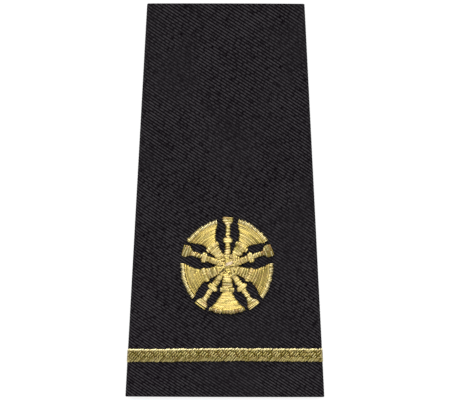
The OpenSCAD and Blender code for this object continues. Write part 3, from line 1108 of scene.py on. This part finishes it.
def sew_stem(stitches, bugle):
    """The stem on the other side of the crossing, its ring and the thin stem beyond it, in slanted rows."""
    badge, row = bugle.badge, stitches.looks.row
    thin_row, thin_slant = 1.3 * row, 0.35 * row
    rows = spaced(ARM_START * badge.cross_r, bugle.ring - 1.5 * row, row)
    stitches.across(-rows, bugle.mouth_half(rows), badge.stem_h, tone=0.44, spread=0.85)
    rows = bugle.ring + RING_PLACES * row
    half = bugle.stout * badge.ring_w / 2 * RING_WIDTHS
    stitches.across(-rows, half, badge.ring_h, shoulder=0.6, width=1.15, tone=0.42, spread=0.6)
    rows = spaced(bugle.ring + 1.8 * row, bugle.lip, thin_row)
    half = bugle.mouth_half(rows)
    stitches.across(-rows, half, badge.stem_h, slant=thin_slant, width=1.2, tone=0.6, spread=0.9)


def sew_mouthpiece(stitches, bugle):
    """The mouthpiece: rows across it, and a bright stitch on each side of its slit."""
    badge, row = bugle.badge, stitches.looks.row
    bare = bugle.slit + 0.8 * row if bugle.slit else 0.2 * row
    rows = spaced(bugle.lip, bugle.mouth - bare, row)
    half, tone = bugle.mouth_half(rows), bugle.cup_tone
    stitches.across(-rows, half, 0.85 * badge.mouth_h, shoulder=0.6, tone=tone, spread=0.85, warmth=0)
    if bugle.slit:
        rows = bugle.mouth - 0.35 * row - np.array([bugle.slit, 0])
        half = np.full(2, bugle.cup / 2)
        stitches.across(-rows, half, 1.2 * badge.mouth_h, broken=False, shoulder=0.7, tone=0.6, spread=0.3)


# Stitches of each bugle across the crossing, and those that fill it below the two uppermost bugles
CROSSING_STITCHES = 36
CROSSING_FILL = 70

# Where the three pale threads lie across the crossing, as shares of the stem's width, and their tone, at
# which they are painted pale as a highlight
LOOSE_PLACES = np.array([-0.34, -0.2, -0.06])
LOOSE_HIGHLIGHT_TONE = 2.2


def headings(angles):
    """Directions that lean by angles from straight across a bugle, as along and across."""
    return np.stack([np.sin(angles), np.cos(angles)], -1)


def sew_crossing(stitches, bugle):
    """The bugle's share of the crossing: short stitches across it at uneven angles."""
    badge, random = bugle.badge, stitches.random
    kinds = {"crown": badge.cross_h, "shoulder": 0.8, "spread": 0.35}
    count, reach, lean_stray, side_stray = CROSSING_STITCHES, 1.1, 0.7, 4
    shortest, longer = 0.3, 0.22
    along = np.linspace(-reach, reach, count) * badge.cross_r + stitches.stray(count)
    lean = random.normal(0, lean_stray, count)
    half = (shortest + longer * random.random(count)) * badge.stem_w
    run = headings(lean) * half[:, None]
    middle = np.stack([along, side_stray * stitches.stray(count)], -1)
    stitches.add(middle - run, middle + run, tone=0.55, warmth=0.8, **kinds)
    if bugle.order < BUGLES - 2:
        fill_share, fill_half = 0.92, 0.4
        turn, lean = random.random((2, CROSSING_FILL)) * 2 * np.pi
        out = fill_share * badge.cross_r * np.sqrt(random.random(CROSSING_FILL))
        middle = (out * np.stack([np.cos(turn), np.sin(turn)])).T
        run = headings(lean) * fill_half * badge.stem_w
        stitches.add(middle - run, middle + run, tone=0.5, **kinds)
    # The uppermost bugle gets three threads on the crossing, painted pale as a highlight
    if bugle.order == BUGLES - 1:
        across = LOOSE_PLACES * badge.stem_w
        start = np.stack([-0.42 * badge.cross_r + across, across], -1)
        stop = np.stack([0.25 * badge.cross_r + across, across - 0.1 * badge.stem_w], -1)
        stitches.add(start, stop, 1.45 * badge.cross_h, shoulder=0.9, width=0.8, tone=LOOSE_HIGHLIGHT_TONE, spread=0)


# Points across a bed of padding
BED_COLUMNS = 9


def bed_of(bugle, sign):
    """The padding under one arm: the arm's outline, a little in from its edges, under a half ellipse.

    It is higher in the bell. Returns its upper face and its lower one, which lies in the cloth, each with
    its UV.
    """
    share, bare, sunk = 0.88, 0.4 * MM, 0.1 * MM
    height, bell_more, rise_l = 0.3 * MM, 0.14 * MM, 1.5 * MM
    rows, begin = 40, 0.2 * MM
    end = bugle.fill_end if sign > 0 else bugle.mouth - bare
    along = np.linspace(begin, end, rows)[:, None]
    half = (bugle.bell_half(along) if sign > 0 else bugle.mouth_half(along)) * share
    t = np.linspace(-1, 1, BED_COLUMNS)
    tall = height + bell_more * ease((along - bugle.badge.throat_at) / rise_l)
    upper = tall * np.sqrt(np.clip(1 - t * t, 0, 1)) - sunk
    across = half * t * sign
    along = sign * along + 0 * across
    grids = [bugle.place(along, across, up + 0 * across) for up in (upper, -ROOT)]
    return [(grid, grid[..., :2]) for grid in grids]


def make_embroidery(name, node, sewn, marks, beds, thread, looks):
    """Puts stitches and the closed pads under them into one piece.

    sewn is what sew returns, and marks are the values of each mark at its rings of points, which the pads
    don't have. A bed is an upper and a lower grid of points, each with its UV.
    """
    points, faces, uv = sewn
    parts, maps, groups = [points], [uv], [np.zeros(len(corners)) for corners in faces]
    for bed in beds:
        rows, columns, _ = bed[0][0].shape
        pad = [f[:, ::-1] + sum(map(len, parts)) for f in wall_faces(rows, columns, np.arange(rows))]
        faces = faces + pad
        groups += [np.ones(len(corners)) for corners in pad]
        parts += [grid.reshape(-1, 3) for grid, _ in bed]
        maps += [grid_uv.reshape(-1, 2) for _, grid_uv in bed]
    none = np.zeros(sum(map(len, parts[1:])))
    marks = [np.concatenate([np.repeat(values, THREAD_SIDES), none]) for values in marks]
    materials = [thread, underlay(looks)]
    make_piece(
        name, np.concatenate(parts), faces, np.concatenate(maps), materials, [node],
        np.concatenate(groups), dict(zip(MARKS, marks)),
    )


class MARK_OT_bugles(bpy.types.Operator):
    """Sews the badge: five bugles that cross in the middle, each its own piece"""

    bl_idname = "mark.bugles"
    bl_label = "Bugles"

    def execute(self, context):
        settings = context.scene.mark_settings
        looks = settings.thread
        thread = metallic_thread(
            "gold_thread", looks, looks.deep, looks.brown, looks.bright, looks.warm, uneven=0.8
        )
        for order in range(BUGLES):
            bugle = Bugle(order, settings.badge, settings.sleeve)
            stitches = Stitches(looks, order)
            for part in (sew_bell, sew_barrel, sew_stem, sew_mouthpiece, sew_crossing):
                part(stitches, bugle)
            ground, height, width, marks = stitches.lines()
            lines = bugle.place(ground[..., 0], ground[..., 1], height)
            ups = np.broadcast_to(np.array([0, 0, 1.0]), lines.shape)
            sewn = sew(lines, ups, width * looks.width, looks.thick)
            node = "bugle_%d" % (order + 1)
            beds = [bed_of(bugle, sign) for sign in (1, -1)]
            make_embroidery(node + "_stitches", node, sewn, marks, beds, thread, looks)
        return {"FINISHED"}


# Each row of the bar is three stitches. These are the shares of the row at which they begin and end, what
# the inner shares differ by from row to row, and the tones of the three.
BAR_CUTS = (0, 0.39, 0.71, 1)
BAR_STAGGER = (0, 0.07, -0.07)
BAR_TONES = (0.0, 0.0, 0.04)

# The bar's painted highlights along both edges, strong on the upper one and faint on the lower: where one
# begins, as a share of half of the bar's width, the share over which it grows, and by how much its tone
# does
BAR_UPPER_HIGHLIGHT = (0.72, 0.16, 0.95)
BAR_LOWER_HIGHLIGHT = (0.65, 0.1, 0.18)


class MARK_OT_bar(bpy.types.Operator):
    """Sews the rank bar: slanted stitches that run across the sleeve and round both folds"""

    bl_idname = "mark.bar"
    bl_label = "Rank bar"

    def execute(self, context):
        settings = context.scene.mark_settings
        sizes, badge, looks = settings.sleeve, settings.badge, settings.thread
        middle, half = (BAR_LOW[1] + BAR_HIGH[1]) / 2, (BAR_HIGH[1] - BAR_LOW[1]) / 2
        form = FrontForm(np.array([middle]), sizes)
        clear = 0.15 * MM
        reach = float(form.arch[0] + form.fold[0]) + sizes.back_inset - form.radius - clear

        def bow(s):
            """How far the bar lies above its straight line: a bell curve, lowered, and a slope."""
            peak, width, lowered, slope = 2 * MM, 16 * MM, 0.28, 0.75
            return badge.bar_bow * (np.exp(-((s - peak) / width) ** 2) - lowered + slope * s / reach)

        ground, height, width, (tone, warmth) = self.rows(badge, looks, reach, half).lines()
        y = middle + ground[..., 1] + bow(ground[..., 0])
        form = FrontForm(y, sizes)
        _, _, out_x, out_z = form.lay(ground[..., 0])
        # The stitches are flatter round the folds, where the cloth faces sideways
        flattest, flat_from, flat_over, thinner = 0.1, 0.5, 0.4, 0.65
        flat = flattest + (1 - flattest) * ease((np.abs(out_z) - flat_from) / flat_over)
        lines = form.points(ground[..., 0], y, height * flat)
        ups = np.stack([out_x, 0 * out_x, out_z], -1)
        sewn = sew(lines, ups, width * looks.width, thinner * looks.thick)
        edge = ground[..., 1] / half
        (begin, grow, more), (low_begin, low_grow, low_more) = BAR_UPPER_HIGHLIGHT, BAR_LOWER_HIGHLIGHT
        upper, lower = ease((edge - begin) / grow), ease((-edge - low_begin) / low_grow)
        # Painted highlights: the tone rises along both edges, and the upper edge takes the paler highlight
        # colour
        marks = tone + more * upper + low_more * lower, warmth - upper
        thread = metallic_thread(
            "bar_thread", looks, looks.bar_deep, looks.bar_brown, looks.bar_highlight, looks.bar_bright, uneven=0
        )
        beds = [self.bed(middle, half, reach, bow, sizes)]
        make_embroidery("bar_stitches", "rank_bar", sewn, marks, beds, thread, looks)
        return {"FINISHED"}

    def rows(self, badge, looks, reach, half):
        """The bar's stitches, in slanted rows that are cut off at its ends, lighter and darker by turns.

        reach is half of the bar's length and half is half of its width. A stitch that is shorter than the
        least share of its row is left out.
        """
        least, by_turns, dips = 0.08, 0.17, (1, 0.4, 0.4, 1)
        start_stray, cut_stray, end_stray = 0.05 * MM, 0.03, 1.3
        stitches = Stitches(looks, BUGLES)
        random = stitches.random
        run = 2 * half / math.tan(badge.bar_lean)
        starts = np.arange(-reach - run, reach, badge.bar_pitch)
        count = len(starts)
        starts = starts + start_stray * random.standard_normal(count)
        stagger = np.resize(BAR_STAGGER, count) + cut_stray * random.standard_normal(count)
        halves = half + end_stray * stitches.stray(count)
        limits = (-reach - starts) / run, (reach - starts) / run
        turns = by_turns * (-1.0) ** np.arange(count)
        cuts = [np.clip(cut + move, *limits) for cut, move in zip(BAR_CUTS, (0, stagger, stagger, 0))]
        for k, tone in enumerate(BAR_TONES):
            t0, t1 = cuts[k], cuts[k + 1]
            used = t1 - t0 > least
            low, high = 2 * t0 - 1, 2 * t1 - 1
            start = np.stack([starts + t0 * run, low * halves], -1)[used]
            stop = np.stack([starts + t1 * run, high * halves], -1)[used]
            stitches.add(
                start, stop, badge.bar_h, shoulder=0.66, width=0.92, tone=tone + turns[used], spread=0.25,
                warmth=0.9, band=(low[used], high[used]), dips=dips[k:k + 2],
            )
        return stitches

    def bed(self, middle, half, reach, bow, sizes):
        """The padding under the bar: its outline, a little in from its edges, under a half ellipse."""
        share, height, sunk = 0.94, 0.18 * MM, 0.08 * MM
        rows = 161
        across = np.linspace(-1, 1, BED_COLUMNS) * share
        s, t = np.meshgrid(np.linspace(-reach, reach, rows), across, indexing="ij")
        y = middle + t * half + bow(s)
        upper = height * np.sqrt(np.clip(1 - t * t, 0, 1)) - sunk
        form = FrontForm(y, sizes)
        uv = np.stack([s, t * half], -1)
        return [(form.points(s, y, up), uv) for up in (upper, -ROOT)]


# Half of the floor's width
FLOOR_REACH = 1.5


class MARK_OT_stage(bpy.types.Operator):
    """Makes the pale floor, the soft light and the camera that looks straight down"""

    bl_idname = "mark.stage"
    bl_label = "Stage"

    def execute(self, context):
        settings = context.scene.mark_settings
        self.floor(context.scene, settings.stage)
        self.light(context.scene, settings.stage)
        self.camera(context.scene, settings.stage, settings.sleeve)
        return {"FINISHED"}

    def floor(self, scene, looks):
        """A flat square at a height of 0."""
        r = FLOOR_REACH
        mesh = bpy.data.meshes.new("floor")
        mesh.from_pydata([(-r, -r, 0), (r, -r, 0), (r, r, 0), (-r, r, 0)], [], [(0, 1, 2, 3)])
        mesh.materials.append(floor_material(looks))
        floor = bpy.data.objects.new("floor", mesh)
        scene.collection.objects.link(floor)

    def light(self, scene, looks):
        """An even light all round, with a soft lamp in it beyond each end of the sleeve."""
        world = bpy.data.worlds.new("soft_room")
        world.use_nodes = True
        tree = world.node_tree
        tree.nodes.clear()
        way = add_node(tree, "ShaderNodeTexCoord", output="Generated")

        def lamp(end, up):
            """Light from beyond an end, 1 for the narrow one and -1 for the wide one, up by an angle."""
            inputs = {0: way, 1: (0, end * math.cos(up), math.sin(up))}
            facing = add_node(tree, "ShaderNodeVectorMath", {"operation": "DOT_PRODUCT"}, inputs, "Value")
            return facing.maths("MAXIMUM", facing, 0.0) ** looks.spread

        light = lamp(1, looks.key_up) * looks.key + lamp(-1, looks.fill_up) * looks.fill + looks.sky
        room = add_node(tree, "ShaderNodeBackground", {}, {"Color": (1, 1, 1), "Strength": light})
        add_node(tree, "ShaderNodeOutputWorld", {}, {"Surface": room})
        scene.world = world
        scene.view_settings.view_transform = "Standard"
        scene.view_settings.look = "None"

    def camera(self, scene, looks, sizes):
        """A far camera that looks straight down, so high that a pixel has its width at the sides."""
        lens = bpy.data.cameras.new("camera")
        lens.lens = looks.lens / MM
        lens.sensor_width = 36
        side_z = sizes.back_t + sizes.layer_gap + sizes.fold_r + sizes.front_t
        away = looks.picture_w * looks.pixel * lens.lens / lens.sensor_width
        camera = bpy.data.objects.new("camera", lens)
        camera.location = (-looks.off_x, -looks.off_y, side_z + away)
        camera.rotation_euler = (0, 0, looks.roll)
        scene.collection.objects.link(camera)
        scene.camera = camera


class MARK_PT_sidebar(bpy.types.Panel):
    """Lists the pieces of the shoulder mark"""

    bl_idname = "MARK_PT_sidebar"
    bl_label = "Shoulder mark"
    bl_space_type = "VIEW_3D"
    bl_region_type = "UI"
    bl_category = "Shoulder mark"

    def draw(self, context):
        for step in STEPS:
            self.layout.operator(step.bl_idname)
        settings = context.scene.mark_settings
        for group in (settings.sleeve, settings.cloth, settings.badge, settings.thread, settings.stage):
            box = self.layout.box()
            for name in group.bl_rna.properties.keys():
                if name not in ("rna_type", "name"):
                    box.prop(group, name)


STEPS = (MARK_OT_stage, MARK_OT_front, MARK_OT_back, MARK_OT_bar, MARK_OT_bugles)
CLASSES = (
    SleeveSizes, ClothLooks, BadgeSizes, ThreadLooks, StageLooks, MarkSettings, *STEPS, MARK_PT_sidebar,
)


def register():
    for each in CLASSES:
        bpy.utils.register_class(each)
    bpy.types.Scene.mark_settings = PointerProperty(type=MarkSettings)


def unregister():
    del bpy.types.Scene.mark_settings
    for each in reversed(CLASSES):
        bpy.utils.unregister_class(each)


def main():
    """Makes the stage and each piece."""
    register()
    bpy.ops.mark.stage()
    bpy.ops.mark.front()
    bpy.ops.mark.back()
    bpy.ops.mark.bar()
    bpy.ops.mark.bugles()


if __name__ == "__main__":
    main()
